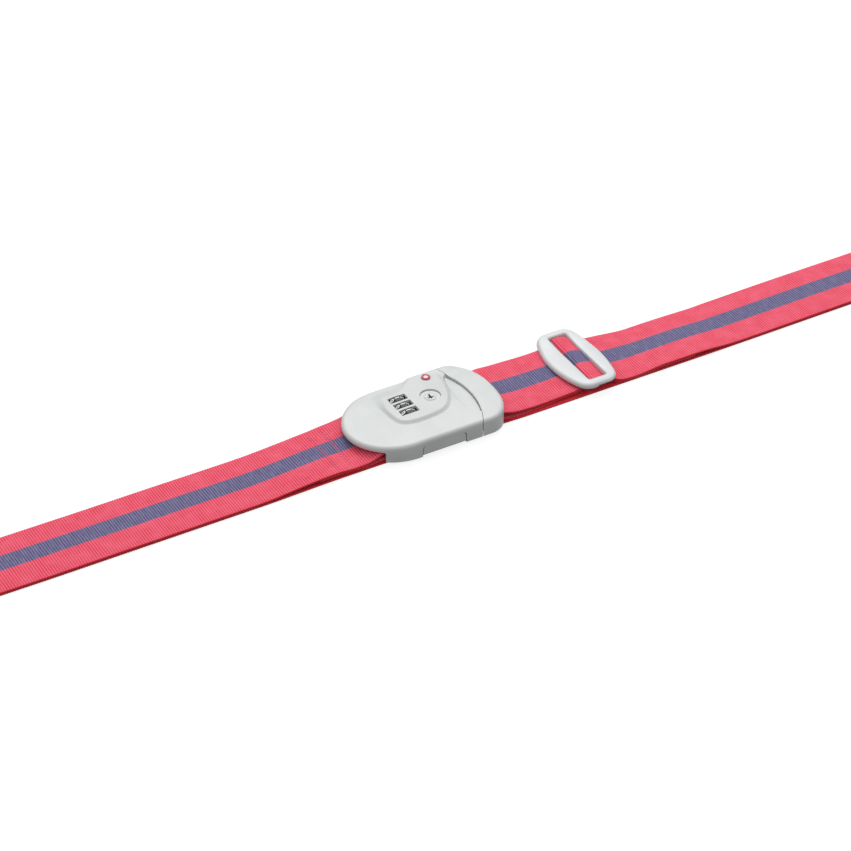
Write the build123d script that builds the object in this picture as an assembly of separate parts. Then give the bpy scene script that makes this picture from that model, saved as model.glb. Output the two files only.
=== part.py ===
from build123d import *
import math
import os

# Luggage strap: one 50 mm webbing band, a two-part buckle with a three-dial lock, and a slider.
# It is closed and laid flat, so the band runs back underneath itself and folds at both ends.
# Millimetres. +X runs along the strap from the lock half to the insert half, +Z is up.
# The origin lies under the middle of the buckle, on the surface that the strap rests on.

# Webbing
WEB_WIDTH = 50.0
WEB_T = 1.3
LAYER = 1.35            # one layer and the air above it
RUN_LOW = WEB_T / 2     # middle of the layer that lies on the surface
RUN_TOP = RUN_LOW + LAYER
FOLD_R = 5.65           # middle line of the fold at each end
FOLD_END = 480.0        # outermost point of each fold
RUN_SPLIT = -30.0       # where the lower run passes from the lock side to the insert side
TAIL_END = 197.0
SPAN_GAP = 0.3          # between webbing pieces of different bodies

# Buckle
HALF_WIDTH = 32.5
UNDERSIDE = 1.5
COVER_TOP = 13.6
ISLAND_TOP = 16.6
WALL = 1.8
ROOF = 2.0
LOCK_END_X = -18.3      # centre of the lock half's elliptical end
LOCK_END_A = 36.0
INSERT_END_X = 34.3     # centre of the insert half's elliptical end
INSERT_END_A = 20.0
SEAM_R = 65.0
SEAM_X = 36.9           # furthest point of the seam between the halves
SEAM_GAP = 0.35
MOUTH_HALF = 26.0       # half width of the webbing's way in
MOUTH_TOP = 9.6
REAR_TOP = 3.3          # inner face of the lock half's rear cover
INSERT_REAR_TOP = 2.6

# Webbing bars
BAR_R = 1.75
BAR_Z = 6.1
LOCK_BAR_X = -36.0
INSERT_BAR_X = 43.0
WRAP_R = BAR_R + 0.1 + WEB_T / 2

# Dials
DIAL_X = -9.4
DIAL_Z = 10.4
DIAL_R = 6.4
DIAL_W = 4.6
DIAL_PITCH = 7.6
DIAL_Y = [13.3 - DIAL_PITCH * i for i in range(3)]
DIGITS = 10
SLEEVE_R = 4.0
SLEEVE_W = 6.4
SHAFT_R = 1.5
SHAFT_COLLAR = (27.5, 28.4)

# Key cylinder
KEY_X = 11.0
KEY_Y = 6.3
PLUG_R = 3.4
CYLINDER_R = 6.5
CAM_R = 3.0             # from the plug's axis to the cam's pin
CAM_PIN_R = 1.0
PLATE_Z = (5.5, 6.5)

# Latch arms, measured on the +Y side and mirrored to -Y
ARM_X = (-13.5, 26.5)
ARM_Y = (19.5, 24.5)
ARM_Z = (4.7, 7.7)
NOSE_Y = 26.9
PIVOT_X = 24.0
PIVOT_Y = 22.0
PIVOT_R = 1.25
CATCH_Y = (27.05, 28.2)

# Release tabs
TAB_X = (-16.2, 15.8)
TAB_Z = (3.6, 8.8)

# Slider
SLIDER_X = (99.0, 139.5)
SLIDER_HALF = 32.0
SLIDER_Y = 0.8          # it sits a little off the strap's middle line
SLIDER_Z = (6.5, 11.0)
WINDOW_X = (115.0, 129.0)
WINDOW_HALF = 26.4
CENTRE_BAR_X = (119.3, 122.4)
CENTRE_BAR_Z = (5.8, 7.7)

RING_X = 18.4
RING_Y = 25.3
RING_R = 3.0
LENS_R = 1.5

SCREWS = [(-25.0, 27.5), (-25.0, -27.5), (25.5, 29.1), (25.5, -29.1)]
INSERT_SCREWS = [(37.5, 27.8), (37.5, -27.8)]
SCREW_R = 0.9
SCREW_HEAD_R = 1.5


def block(x, y, z):
    """A box between pairs of limits."""
    centre = [(a + b) / 2 for a, b in (x, y, z)]
    return Pos(*centre) * Box(x[1] - x[0], y[1] - y[0], z[1] - z[0])


def post(x, y, z, radius):
    """An upright cylinder between two heights."""
    return Pos(x, y, (z[0] + z[1]) / 2) * Cylinder(radius, z[1] - z[0])


def rod(x, y, z, radius):
    """A cylinder along Y between two values of y."""
    return Pos(x, (y[0] + y[1]) / 2, z) * Rot(90, 0, 0) * Cylinder(radius, y[1] - y[0])


def mirrored(shape):
    """The same piece on the other side of the strap's middle line."""
    return mirror(shape, about=Plane.XZ)


def raised(sketch, z):
    """A plan outline turned into a solid between two heights."""
    return Pos(0, 0, z[0]) * extrude(sketch, z[1] - z[0])


def save(node, *solids):
    """Write one node, with one solid or a group of separate ones."""
    shape = solids[0] if len(solids) == 1 else Compound(children=list(solids))
    export_step(shape, f"parts/{node}.step")


# Outlines


def straight(x, half):
    """The part of a plan between two values of x with straight sides."""
    return Pos((x[0] + x[1]) / 2, 0) * Rectangle(x[1] - x[0], 2 * half)


def lock_plan(inset, open_end=False):
    """Half an ellipse and straight sides, up to the bulging seam or open past it."""
    half = HALF_WIDTH - inset
    plan = Pos(LOCK_END_X, 0) * Ellipse(LOCK_END_A - inset, half)
    plan += straight((LOCK_END_X, SEAM_X + 15), half)
    if open_end:
        return plan
    return plan & Pos(SEAM_X - SEAM_R, 0) * Circle(SEAM_R)


def insert_plan(inset, open_end=False):
    """Straight sides and half an ellipse, from the hollow seam or open past it."""
    half = HALF_WIDTH - inset
    plan = Pos(INSERT_END_X, 0) * Ellipse(INSERT_END_A - inset, half)
    plan += straight((INSERT_END_X - 25, INSERT_END_X), half)
    if open_end:
        return plan
    return plan - Pos(SEAM_X - SEAM_R, 0) * Circle(SEAM_R + SEAM_GAP)


def island_plan():
    """The raised field round the dials and the key, which runs out at the far wall."""
    corners = [
        (-22, 22), (-22, -6), (-15, -12.6), (3, -12.6), (15, -9.5), (23, 2),
        (27.4, 18), (27.4, 29), (9, 29), (-3, 23.5), (-16, 23.5),
    ]
    return make_face(Polyline(*corners, close=True))


# Webbing


def offset_path(path, distance):
    """A path moved sideways, to the left of its direction, with mitred corners."""
    moved = []
    for i, (x, z) in enumerate(path):
        ahead = path[min(i + 1, len(path) - 1)]
        behind = path[max(i - 1, 0)]
        normals = []
        for (xa, za), (xb, zb) in ((behind, (x, z)), ((x, z), ahead)):
            length = math.hypot(xb - xa, zb - za)
            if length > 0:
                normals.append(((za - zb) / length, (xb - xa) / length))
        first, last = normals[0], normals[-1]
        scale = distance / (1 + first[0] * last[0] + first[1] * last[1])
        moved.append((x + (first[0] + last[0]) * scale, z + (first[1] + last[1]) * scale))
    return moved


def ribbon(path):
    """Webbing of full width whose middle layer line is a path of (x, z) points."""
    edge = offset_path(path, WEB_T / 2) + offset_path(path, -WEB_T / 2)[::-1]
    side = make_face(Polyline(*[(x, 0, z) for x, z in edge], close=True))
    return extrude(side, WEB_WIDTH / 2, dir=(0, 1, 0), both=True)


def arc_path(x, z, radius, start, end, steps):
    """Points round an arc in the XZ plane, in degrees from +X towards +Z."""
    angles = [math.radians(start + (end - start) * i / steps) for i in range(steps + 1)]
    return [(x + radius * math.cos(a), z + radius * math.sin(a)) for a in angles]


def fold_path():
    """The fold at the +X end: out along the surface, round, and back down on the top run."""
    centre_x = FOLD_END - WEB_T / 2 - FOLD_R
    bend = arc_path(centre_x, RUN_LOW + FOLD_R, FOLD_R, -90, 90, 12)
    return bend + [(465, 10.9), (450, 6.6), (438, 3.4), (425, RUN_TOP)]


def between(path, x_from, x_to):
    """The stretch of a path that runs one way in x, cut at two values of x."""
    def height(x):
        for (xa, za), (xb, zb) in zip(path, path[1:]):
            if min(xa, xb) <= x <= max(xa, xb):
                return za + (zb - za) * (x - xa) / (xb - xa)
        raise ValueError(x)

    low, high = sorted((x_from, x_to))
    inner = [p for p in path if low < p[0] < high]
    if (path[-1][0] - path[0][0]) * (x_to - x_from) < 0:
        inner = inner[::-1]
    return [(x_from, height(x_from))] + inner + [(x_to, height(x_to))]


# Top face of the main layer, from the insert's bar through the slider to the flat run.
MAIN_TOP_FACE = [
    (INSERT_BAR_X, BAR_Z + WRAP_R + WEB_T / 2), (48, 9.1), (56, 8.0), (66, 7.1), (77, 6.4), (88, 5.9),
    (98, 5.9), (106, 6.2), (114.9, 6.3), (115.4, 6.9), (117.5, 10.3), (119, 10.9), (123.6, 10.4),
    (128.8, 6.3), (139, 5.2), (150, RUN_TOP + LAYER + WEB_T / 2), (201, RUN_TOP + LAYER + WEB_T / 2),
    (223, RUN_TOP + WEB_T / 2), (300, RUN_TOP + WEB_T / 2),
]
MAIN_PATH = offset_path(MAIN_TOP_FACE, -WEB_T / 2)
UNDER_PATH = offset_path(MAIN_TOP_FACE, -WEB_T / 2 - LAYER)
TAIL_START = [(INSERT_BAR_X, BAR_Z - WRAP_R), (55, 2.9), (70, 2.85), (84, 3.6)]
SLIDER_SPAN = (113.0, 145.0)


def webbing_lock_side():
    """Lower run, left fold, top run, the turn round the lock's bar and the sewn-down end."""
    fold = [(-x, z) for x, z in fold_path()]
    top_run = [
        (-125, RUN_TOP), (-105, 2.6), (-90, 3.45), (-75, 4.15), (-62, 4.75), (-50, 6.15), (-41, 7.85),
    ]
    turn = arc_path(LOCK_BAR_X, BAR_Z, WRAP_R, 90, -90, 12)
    sewn_end = [(-50, 3.1), (-62, 3.4), (-75, 2.8), (-86, 2.15)]
    start = [(RUN_SPLIT - SPAN_GAP / 2, RUN_LOW)]
    return ribbon(start + fold + top_run + turn + sewn_end)


def webbing_insert_side():
    """Lower run, right fold and top run, up to where the slider's own stretch begins."""
    flat_run = between(MAIN_PATH, 300, SLIDER_SPAN[1] + SPAN_GAP / 2)
    return ribbon([(RUN_SPLIT + SPAN_GAP / 2, RUN_LOW)] + fold_path() + flat_run)


def webbing_loop():
    """Both layers between the slider and the insert's bar, and the turn round the bar."""
    end = SLIDER_SPAN[0] - SPAN_GAP / 2
    main = between(MAIN_PATH, end, INSERT_BAR_X + 1)
    turn = arc_path(INSERT_BAR_X, BAR_Z, WRAP_R, 90, 270, 12)
    under = [p for p in TAIL_START if p[0] > INSERT_BAR_X + 1] + between(UNDER_PATH, 95, end)
    return ribbon(main + turn + under)


def webbing_in_slider():
    """The two layers over the slider's centre bar."""
    low, high = SLIDER_SPAN[0] + SPAN_GAP / 2, SLIDER_SPAN[1] - SPAN_GAP / 2
    return [ribbon(between(path, low, high)) for path in (MAIN_PATH, UNDER_PATH)]


def webbing_tail():
    """The free end, flat under the top run."""
    return ribbon(between(UNDER_PATH, SLIDER_SPAN[1] + SPAN_GAP / 2, TAIL_END))


# Lock half


def dial_windows():
    """One slot over each dial."""
    return [
        block((DIAL_X - 6.3, DIAL_X + 6.3), (y - 2.45, y + 2.45), (COVER_TOP - 3, ISLAND_TOP + 1))
        for y in DIAL_Y
    ]


def screw_bosses(places, z_low):
    """Posts that the rear cover's screws bite into."""
    return [post(x, y, (z_low, COVER_TOP - 1), 2.0) for x, y in places]


def screw_holes(places, depth):
    """Pilot holes up the bosses."""
    return [post(x, y, (UNDERSIDE, UNDERSIDE + depth), SCREW_R) for x, y in places]


def tab_windows(margin):
    """The openings for the two release tabs, open at the bottom of the wall."""
    x = (TAB_X[0] - margin, TAB_X[1] + margin)
    z = (UNDERSIDE - 1, TAB_Z[1] + margin)
    side = block(x, (HALF_WIDTH - WALL - 1, HALF_WIDTH + 1), z)
    return [side, mirrored(side)]


def top_cover():
    """Shell of the lock half: walls, roof, raised island, windows and screw bosses."""
    shell = raised(lock_plan(0), (UNDERSIDE, COVER_TOP))
    rim = [e for e in shell.faces().sort_by(Axis.Z)[-1].edges() if e.center().X < 30]
    shell = fillet(rim, 2.4)
    shell += raised(island_plan(), (COVER_TOP - 1, ISLAND_TOP))
    cavity = raised(lock_plan(WALL, open_end=True), (UNDERSIDE - 1, COVER_TOP - ROOF))
    bar_end = block((-60, LOCK_BAR_X + 3.5), (-40, 40), (REAR_TOP, 20))
    way = block((-60, 60), (-MOUTH_HALF - 0.1, MOUTH_HALF + 0.1), (0, 20))
    shell -= cavity - (bar_end - way)
    shell -= raised(offset(island_plan(), -2.0), (COVER_TOP - ROOF - 1, ISLAND_TOP - ROOF))
    shell += screw_bosses(SCREWS, REAR_TOP)
    shell = shell & raised(lock_plan(0), (UNDERSIDE, ISLAND_TOP))
    shell -= block((-60, LOCK_BAR_X + 4), (-MOUTH_HALF, MOUTH_HALF), (0, MOUTH_TOP))
    shell -= dial_windows()
    shell -= tab_windows(0.2)
    shell -= screw_holes(SCREWS, 8)
    shell -= post(KEY_X, KEY_Y, (COVER_TOP - 3, ISLAND_TOP + 1), CYLINDER_R + 0.05)
    shell -= post(RING_X, RING_Y, (ISLAND_TOP - 1.4, ISLAND_TOP + 1), RING_R + 0.05)
    shell -= block((DIAL_X - 2.5, DIAL_X + 2.5), (19, HALF_WIDTH - WALL), (COVER_TOP - 3, 12.7))
    shell -= rod(DIAL_X, (28, 34), DIAL_Z, 1.3)
    return shell - rod(LOCK_BAR_X, (-27.4, 27.4), BAR_Z, BAR_R)


def rear_cover():
    """Flat floor of the lock half, with the two catches and the spring posts."""
    plate = raised(lock_plan(WALL + 0.05), (UNDERSIDE, REAR_TOP))
    plate -= block((-60, -31), (-MOUTH_HALF - 0.2, MOUTH_HALF + 0.2), (0, 5))
    for x, y in SCREWS:
        plate -= post(x, y, (0, 5), SCREW_R)
        plate -= post(x, y, (UNDERSIDE, UNDERSIDE + 1), SCREW_HEAD_R)
    catch = block((-8.5, -5), CATCH_Y, (REAR_TOP - 0.5, 8.4))
    spring_post = block((8, 12), (27.05, 27.8), (REAR_TOP - 0.5, 8.0))
    for piece in (catch, spring_post):
        plate += [piece, mirrored(piece)]
    return plate


def screws(places):
    """One screw at each place: head, shank and a cross slot."""
    made = []
    for x, y in places:
        screw = post(x, y, (UNDERSIDE + 0.1, UNDERSIDE + 1), SCREW_HEAD_R)
        screw += post(x, y, (UNDERSIDE + 0.9, UNDERSIDE + 7.5), SCREW_R)
        screw -= block((x - 1, x + 1), (y - 0.2, y + 0.2), (0, UNDERSIDE + 0.5))
        made.append(screw - block((x - 0.2, x + 0.2), (y - 1, y + 1), (0, UNDERSIDE + 0.5)))
    return made


def lock_chassis():
    """Steel bracket with two ears that carry the dial shaft."""
    near, far = DIAL_Y[2] - 7.1, DIAL_Y[0] + 5.7
    plate = block((-18, -3.5), (near, far), (REAR_TOP, REAR_TOP + 1))
    plate -= block((DIAL_X - 3, DIAL_X + 3), (DIAL_Y[2] - 4, DIAL_Y[0] + 4), (0, 9))
    for y in (near, far - 1.2):
        plate += block((DIAL_X - 4, DIAL_X + 4), (y, y + 1.2), (REAR_TOP, 12.9))
    return plate - rod(DIAL_X, (-20, 30), DIAL_Z, SHAFT_R + 0.05)


def dial_click_spring():
    """Leaf with one finger against each dial."""
    leaf = block((-17.9, -16.8), (DIAL_Y[2] - 2.5, DIAL_Y[0] + 2.5), (REAR_TOP + 1, REAR_TOP + 1.5))
    for y in DIAL_Y:
        leaf += block((-17.2, -16.8), (y - 1.8, y + 1.8), (REAR_TOP + 1, 11))
        leaf += block((-17.2, -16.05), (y - 1.0, y + 1.0), (10, 10.8))
    return leaf


def dial(y):
    """Ten-sided number wheel."""
    plane = Plane((DIAL_X, y + DIAL_W / 2, DIAL_Z), x_dir=(1, 0, 0), z_dir=(0, -1, 0))
    rim = RegularPolygon(DIAL_R, DIGITS, rotation=360 / DIGITS / 2)
    return extrude(plane * rim, DIAL_W) - rod(DIAL_X, (y - 5, y + 5), DIAL_Z, SLEEVE_R)


def dial_sleeve(y):
    """Hub that carries the dial's code notch, hollow at the far end for the shaft's fin."""
    low, high = y - SLEEVE_W / 2, y + SLEEVE_W / 2
    hub = rod(DIAL_X, (low, high), DIAL_Z, SLEEVE_R)
    hub -= rod(DIAL_X, (low - 1, high + 1), DIAL_Z, SHAFT_R + 0.05)
    return hub - rod(DIAL_X, (high - 1.9, high + 1), DIAL_Z, 2.6)


def dial_shaft():
    """Shaft with one fin for each sleeve and a collar for its spring."""
    shaft = rod(DIAL_X, (DIAL_Y[2] - 7, 29), DIAL_Z, SHAFT_R)
    for y in DIAL_Y:
        low = y + SLEEVE_W / 2 + 0.3
        shaft += block((DIAL_X - 0.5, DIAL_X + 0.5), (low, low + 0.6), (DIAL_Z, DIAL_Z + 2.4))
    return shaft + rod(DIAL_X, SHAFT_COLLAR, DIAL_Z, 2.1)


def reset_button():
    """Recessed pin in the far wall that pushes the shaft along to change the code."""
    pin = rod(DIAL_X, (29, 32.0), DIAL_Z, 1.2)
    return pin - rod(DIAL_X, (31.6, 33), DIAL_Z, 0.6)


def coil(x, y, z, outer, inner):
    """A coil spring along Y as the tube that its turns fill."""
    return rod(x, y, z, outer) - rod(x, (y[0] - 1, y[1] + 1), z, inner)


def lock_plate():
    """Sliding plate: two fingers that back the latch arms and a slot for the cam's pin."""
    plate = block((-2, 2), (-19.3, 19.3), PLATE_Z)
    plate += block((1.5, 12), (0.2, 7.4), PLATE_Z)
    pin_x = KEY_X - CAM_R * math.sqrt(0.5)
    reach = CAM_PIN_R + 0.25
    slot_y = (KEY_Y - CAM_R - reach, KEY_Y - CAM_R * math.sqrt(0.5) + reach)
    return plate - block((pin_x - reach, pin_x + reach), slot_y, (5, 7))


def key_cylinder():
    """Fixed cylinder with a dished face and a flange under the roof."""
    body = post(KEY_X, KEY_Y, (8.2, 16.2), CYLINDER_R)
    body += post(KEY_X, KEY_Y, (13.4, ISLAND_TOP - ROOF), 7.4)
    dish = Pos(KEY_X, KEY_Y, 15.75) * Cone(PLUG_R + 0.3, CYLINDER_R - 0.5, 1.0)
    return body - dish - post(KEY_X, KEY_Y, (8, 17), PLUG_R + 0.05)


def wafer_levels():
    """Heights of the wafers inside the plug."""
    return [9.2 + 1.3 * i for i in range(4)]


def key_plug():
    """Turning plug with a keyway, a groove for its clip and slots for its wafers."""
    plug = post(KEY_X, KEY_Y, (7.7, 15.4), PLUG_R)
    plug -= block((KEY_X - 0.5, KEY_X + 0.5), (KEY_Y - 2.4, KEY_Y + 2.4), (8.4, 16))
    plug -= post(KEY_X, KEY_Y, (7.7, 8.2), 5) - post(KEY_X, KEY_Y, (7.6, 8.3), 2.6)
    for z in wafer_levels():
        plug -= block((KEY_X - 1.3, KEY_X + 1.3), (KEY_Y - 2.95, KEY_Y + 2.95), (z, z + 0.6))
    return plug


def plug_wafers():
    """Thin plates with a window for the key, one in each slot."""
    made = []
    for z in wafer_levels():
        wafer = block((KEY_X - 1.2, KEY_X + 1.2), (KEY_Y - 2.9, KEY_Y + 2.9), (z + 0.05, z + 0.55))
        made.append(wafer - block((KEY_X - 0.5, KEY_X + 0.5), (KEY_Y - 2.0, KEY_Y + 2.0), (0, 20)))
    return made


def plug_clip():
    """Ring that keeps the plug in its cylinder."""
    ring = post(KEY_X, KEY_Y, (7.75, 8.1), 4.6)
    return ring - post(KEY_X, KEY_Y, (7, 9), 2.6) - block((KEY_X, 20), (KEY_Y - 1.4, KEY_Y + 1.4), (7, 9))


def plug_cam():
    """Disc on the plug's lower end with the pin that moves the lock plate."""
    offset_xy = CAM_R * math.sqrt(0.5)
    cam = post(KEY_X, KEY_Y, (6.75, 7.7), 4.2)
    return cam + post(KEY_X - offset_xy, KEY_Y - offset_xy, (5.35, 7), CAM_PIN_R)


def status_ring():
    """Coloured ring round the indicator."""
    ring = post(RING_X, RING_Y, (ISLAND_TOP - 1.4, ISLAND_TOP + 0.1), RING_R)
    return ring - post(RING_X, RING_Y, (0, 20), LENS_R)


def status_lens():
    """Small clear window in the ring."""
    return post(RING_X, RING_Y, (ISLAND_TOP - 1.4, ISLAND_TOP), LENS_R)


def release_tab():
    """Side tab: outer face, end ears that keep it in, and a foot over the arm's nose."""
    tab = block(TAB_X, (HALF_WIDTH - WALL - 0.1, HALF_WIDTH - 0.1), TAB_Z)
    for x in ((-18.2, -14.6), (14.2, 18)):
        tab += block(x, (HALF_WIDTH - WALL - 1.1, HALF_WIDTH - WALL - 0.1), TAB_Z)
    return tab + block((-13, -9.2), (NOSE_Y + 0.3, HALF_WIDTH - WALL), (4.7, 7.7))


# Insert half


def insert_cover():
    """Shell of the insert half, with solid cheeks that hold its webbing bar."""
    shell = raised(insert_plan(0), (UNDERSIDE, COVER_TOP))
    top_edges = shell.faces().sort_by(Axis.Z)[-1].edges()
    rim = [e for e in top_edges if e.center().X > 38 or abs(e.center().Y) > 20]
    shell = fillet(rim, 2.4)
    cavity = raised(insert_plan(WALL, open_end=True), (UNDERSIDE - 1, COVER_TOP - ROOF))
    bar_end = block((INSERT_BAR_X - 4.4, 60), (-40, 40), (INSERT_REAR_TOP, 20))
    way = block((-60, 60), (-MOUTH_HALF - 0.1, MOUTH_HALF + 0.1), (0, 20))
    shell -= cavity - (bar_end - way)
    shell += screw_bosses(INSERT_SCREWS, INSERT_REAR_TOP)
    shell = shell & raised(insert_plan(0), (UNDERSIDE, COVER_TOP))
    shell -= block((INSERT_BAR_X - 4, 60), (-MOUTH_HALF, MOUTH_HALF), (0, MOUTH_TOP))
    shell -= screw_holes(INSERT_SCREWS, 8)
    return shell - rod(INSERT_BAR_X, (-28.2, 28.2), BAR_Z, BAR_R)


def insert_rear_cover():
    """Thin floor under the insert half."""
    plate = raised(insert_plan(WALL + 0.05), (UNDERSIDE, INSERT_REAR_TOP))
    plate -= block((46, 60), (-40, 40), (0, 5))
    for x, y in INSERT_SCREWS:
        plate -= post(x, y, (0, 5), SCREW_R)
        plate -= post(x, y, (UNDERSIDE, UNDERSIDE + 1), SCREW_HEAD_R)
    return plate


def insert_frame():
    """Cross block, tongue and the two forks that hold the latch arms."""
    frame = block((30, 38.5), (-25, 25), (3.6, 11.2))
    frame += block((0.5, 31), (-17, 17), (3.6, 5.2))
    for z in ((3.6, 4.6), (7.8, 8.8)):
        leaf = block((20.5, 31), (19, 25), z)
        frame += [leaf, mirrored(leaf)]
    hole = post(PIVOT_X, PIVOT_Y, (3, 10), PIVOT_R)
    return frame - hole - mirrored(hole)


def latch_arm():
    """Arm with an outward nose, cut back inside to clear the lock plate's finger until it slides."""
    arm = block(ARM_X, ARM_Y, ARM_Z)
    arm += block((ARM_X[0], -9), (ARM_Y[1] - 0.5, NOSE_Y), ARM_Z)
    arm -= block((ARM_X[0] - 1, 2.4), (ARM_Y[0] - 1, ARM_Y[0] + 1.9), (4, 9))
    return arm - post(PIVOT_X, PIVOT_Y, (4, 9), PIVOT_R + 0.06)


# Slider


def slider_frame():
    """Two curved bars, two ends and the lower centre bar, round one window."""
    left_r, right_r = 37.4, 98.0
    plan = straight(SLIDER_X, SLIDER_HALF)
    plan = plan & Pos(SLIDER_X[0] + left_r, 0) * Circle(left_r)
    plan = plan & Pos(SLIDER_X[1] - right_r, 0) * Circle(right_r)
    plan = fillet(plan.vertices(), 7)
    window = straight(WINDOW_X, WINDOW_HALF)
    frame = raised(plan - fillet(window.vertices(), 1.0), SLIDER_Z)
    frame += block(CENTRE_BAR_X, (-WINDOW_HALF - 1, WINDOW_HALF + 1), CENTRE_BAR_Z)
    return Pos(0, SLIDER_Y, 0) * frame


os.makedirs("parts", exist_ok=True)

save("webbing_lock_side", webbing_lock_side())
save("webbing_insert_side", webbing_insert_side())
save("webbing_loop", webbing_loop())
save("webbing_in_slider", *webbing_in_slider())
save("webbing_tail", webbing_tail())

save("top_cover", top_cover())
save("rear_cover", rear_cover())
save("cover_screws", *screws(SCREWS))
save("lock_webbing_bar", rod(LOCK_BAR_X, (-27.4, 27.4), BAR_Z, BAR_R))
save("lock_chassis", lock_chassis())
save("dial_click_spring", dial_click_spring())
for number, place in enumerate(DIAL_Y, start=1):
    save(f"dial_{number}", dial(place))
    save(f"dial_sleeve_{number}", dial_sleeve(place))
save("dial_shaft", dial_shaft())
save("shaft_spring", coil(DIAL_X, (DIAL_Y[0] + 5.8, SHAFT_COLLAR[0] - 0.1), DIAL_Z, 2.1, 1.6))
save("reset_button", reset_button())
save("lock_plate", lock_plate())
save("key_cylinder", key_cylinder())
save("key_plug", key_plug())
save("plug_wafers", *plug_wafers())
save("plug_clip", plug_clip())
save("plug_cam", plug_cam())
save("status_ring", status_ring())
save("status_lens", status_lens())

TAB_SPRING = coil(10, (27.85, HALF_WIDTH - WALL - 0.15), 6.2, 1.5, 1.0)
PIVOT_PIN = post(PIVOT_X, PIVOT_Y, (3.6, 8.8), PIVOT_R)
save("release_tab_back", release_tab())
save("release_tab_front", mirrored(release_tab()))
save("tab_spring_back", TAB_SPRING)
save("tab_spring_front", mirrored(TAB_SPRING))
save("latch_arm_back", latch_arm())
save("latch_arm_front", mirrored(latch_arm()))

save("insert_cover", insert_cover())
save("insert_rear_cover", insert_rear_cover())
save("insert_screws", *screws(INSERT_SCREWS))
save("insert_frame", insert_frame())
save("arm_pins", PIVOT_PIN, mirrored(PIVOT_PIN))
save("insert_webbing_bar", rod(INSERT_BAR_X, (-28.2, 28.2), BAR_Z, BAR_R))
save("slider_frame", slider_frame())
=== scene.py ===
import math

import bmesh
import bpy
import numpy as np
from mathutils import Matrix, Vector


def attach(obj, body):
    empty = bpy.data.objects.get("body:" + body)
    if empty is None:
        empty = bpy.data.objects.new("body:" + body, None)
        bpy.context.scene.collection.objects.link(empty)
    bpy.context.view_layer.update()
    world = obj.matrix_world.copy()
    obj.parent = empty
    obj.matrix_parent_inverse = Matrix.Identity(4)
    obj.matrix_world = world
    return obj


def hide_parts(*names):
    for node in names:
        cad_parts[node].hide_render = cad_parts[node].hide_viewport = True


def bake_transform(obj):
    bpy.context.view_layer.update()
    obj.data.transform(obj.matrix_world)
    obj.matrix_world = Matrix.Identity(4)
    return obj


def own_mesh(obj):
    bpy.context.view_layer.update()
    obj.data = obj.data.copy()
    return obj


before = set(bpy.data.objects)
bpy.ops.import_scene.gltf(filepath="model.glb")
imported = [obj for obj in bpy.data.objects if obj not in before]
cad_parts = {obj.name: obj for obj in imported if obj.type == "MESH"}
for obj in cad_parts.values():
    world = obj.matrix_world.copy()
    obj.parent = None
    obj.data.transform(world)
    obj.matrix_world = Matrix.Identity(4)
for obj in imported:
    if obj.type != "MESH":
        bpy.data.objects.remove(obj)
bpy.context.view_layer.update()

# A luggage strap laid closed and flat: webbing, a lock buckle and a length slider.
# Lengths in this script are millimetres in the model's frame; MM turns them into metres.
# +X runs along the strap to the insert half, +Y is the far side, +Z is up.

MM = 0.001
WELD = 0.0005           # points closer than this are one point

# Webbing
WEB_HALF = 25.0
WEB_T = 1.3
WEB_EDGE = 0.6          # depth of the round edge
LAYER = 1.35
RUN_LOW = WEB_T / 2
RUN_TOP = RUN_LOW + LAYER
RIB_PITCH = 1.75
RIB_DEPTH = 0.1
STRIPE_HALF = 6.8
STRIPE_Y = 1.2
FOLD_R = 5.65
FOLD_END = 480.0
RUN_JOIN = 418.0        # where the lower run meets the folds
SLIDER_JOIN = 133.0     # where the loop meets the long run, under the slider's right bar
TAIL_END = 197.0
STITCH = 1.5            # step of the zigzag across the band
STITCH_SIDE = 1.1       # swing of the zigzag to either side
STITCH_ROWS = ((-62.3, -19.5, 20.8), (-72.0, -20.8, 18.8))
THREAD_R = 0.17
THREAD_SINK = 0.16      # depth of a stitch's ends
THREAD_RISE = 0.3       # height of its middle above them
# centre line (x, z) of the lock side's top run, from the flat run to the buckle
LOCK_RUN = [(-140, 2.0), (-122, 2.1), (-105, 2.75), (-90, 3.45), (-75, 4.2), (-62, 4.45), (-53, 4.9)]

# Buckle
HALF_WIDTH = 32.5
UNDERSIDE = 1.5
WALL = 1.8
ROOF = 2.0
RIM_R = 2.6
ISLAND_TOP = 16.6
LOCK_END_X = -18.3
LOCK_END_A = 36.0
INSERT_END_X = 34.3
INSERT_END_A = 20.0
SEAM_R = 65.0
SEAM_X = 36.9
SEAM_GAP = 0.35
OUTLINE_POINTS = 620
FACE_ROWS = 62
MIDDLE_X = 4.0          # centre of the middle line that the faces are spread from
BAR_Z = 6.1
WRAP_R = 2.5
LOCK_BAR_X = -36.0
INSERT_BAR_X = 43.0
KEY = (11.0, 6.3)
KEY_FACE_R = 7.05
KEY_BORE_R = 6.55
RING = (18.4, 25.3)
RING_HOLE_R = 3.03
RESET_HOLE_R = 1.3
DIAL_X = -9.4
DIAL_Z = 10.4
DIAL_R = 6.6
DIAL_Y = [13.3 - 7.6 * i for i in range(3)]
DIAL_HALF = 2.6
DIAL_WINDOW = (6.4, 2.9)    # half its length and half its width
DIGIT_SIZE = 4.4
DIGIT_T = 0.05
DIGIT_BOLD = 0.1        # the strokes grow by this much on each side
DIGIT_GAP = 0.02        # between a wheel's flat and the middle of its number
DIGIT_ASIDE = 0.8       # the numbers sit towards the wheel's far side
SLEEVE_R = 4.02
FACET_R = DIAL_R * math.cos(math.pi / 10)
TAB_X = (-16.4, 16.1)
TAB_OPENING = {"front": 10.0, "back": 9.0}
TAB_TOP = {"front": 10.0, "back": 8.95}
TAB_BOTTOM = 3.45

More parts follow.
